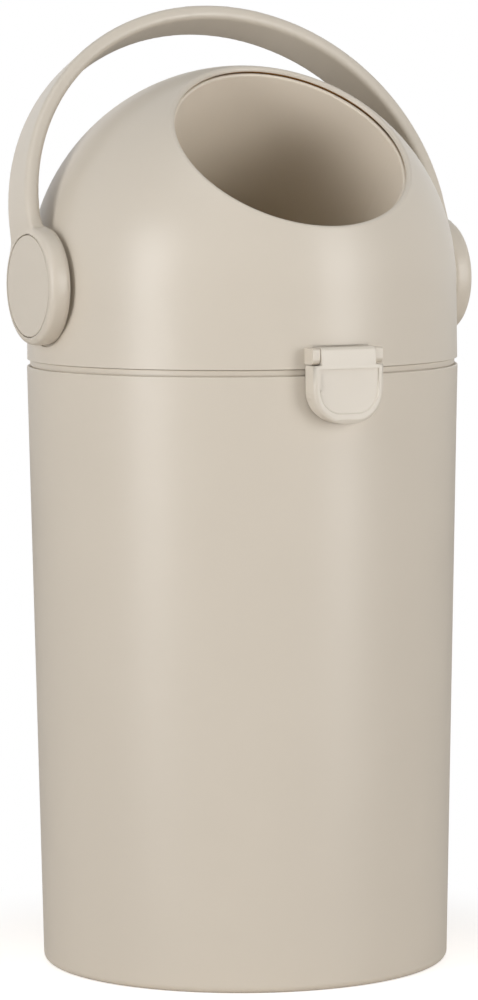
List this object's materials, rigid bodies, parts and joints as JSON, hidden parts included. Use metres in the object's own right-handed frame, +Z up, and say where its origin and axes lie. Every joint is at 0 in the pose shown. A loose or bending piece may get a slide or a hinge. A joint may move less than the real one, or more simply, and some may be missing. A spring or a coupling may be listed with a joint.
{
  "type": "nappy bin",
  "caption": "Tall round nappy bin with a domed lid, a latch at the front and a carrying handle that flips a drum inside the dome to drop the nappy.",
  "frame": {"origin": "centre of the base, on the floor that the bin stands on", "axes": "+Z up, front with the latch and the mouth towards -Y, handle axis along X"},
  "size_m": [0.3032, 0.3055, 0.6224],
  "materials": {
    "shell": "satin moulded",
    "cup": "satin moulded",
    "latch": "satin moulded",
    "inner": "plain moulded",
    "seal": "soft matt",
    "steel": "zinc plated"
  },
  "bodies": {
    "bin": {"bin_body": "shell", "latch_catch": "shell", "bag_ring": "shell", "hinge_pin": "steel"},
    "lid": {"dome_cover": "shell", "lid_cradle": "inner", "mouth_seal": "seal", "throat_seal": "seal", "bush_left": "inner", "bush_right": "inner", "lid_screws": "steel", "latch_pin": "steel"},
    "drum": {"drum_front_half": "inner", "drum_back_half": "inner", "drum_cup": "cup", "drive_hub_left": "inner", "drive_hub_right": "inner", "handle": "shell", "hub_cap_left": "shell", "hub_cap_right": "shell", "hub_screws": "steel"},
    "latch": {"latch_flap": "latch"}
  },
  "joints": [
    {"name": "lid_open", "type": "hinge", "parent": "bin", "child": "lid", "pos_m": [0, 0.1465, 0.3917], "axis": [-1, 0, 0], "range_deg": [0, 95]},
    {"name": "handle_flip", "type": "hinge", "parent": "lid", "child": "drum", "pos_m": [0, 0, 0.4435], "axis": [1, 0, 0], "range_deg": [0, 118]},
    {"name": "latch_swing", "type": "hinge", "parent": "lid", "child": "latch", "pos_m": [0, -0.1446, 0.402], "axis": [-1, 0, 0], "range_deg": [0, 60]}
  ]
}
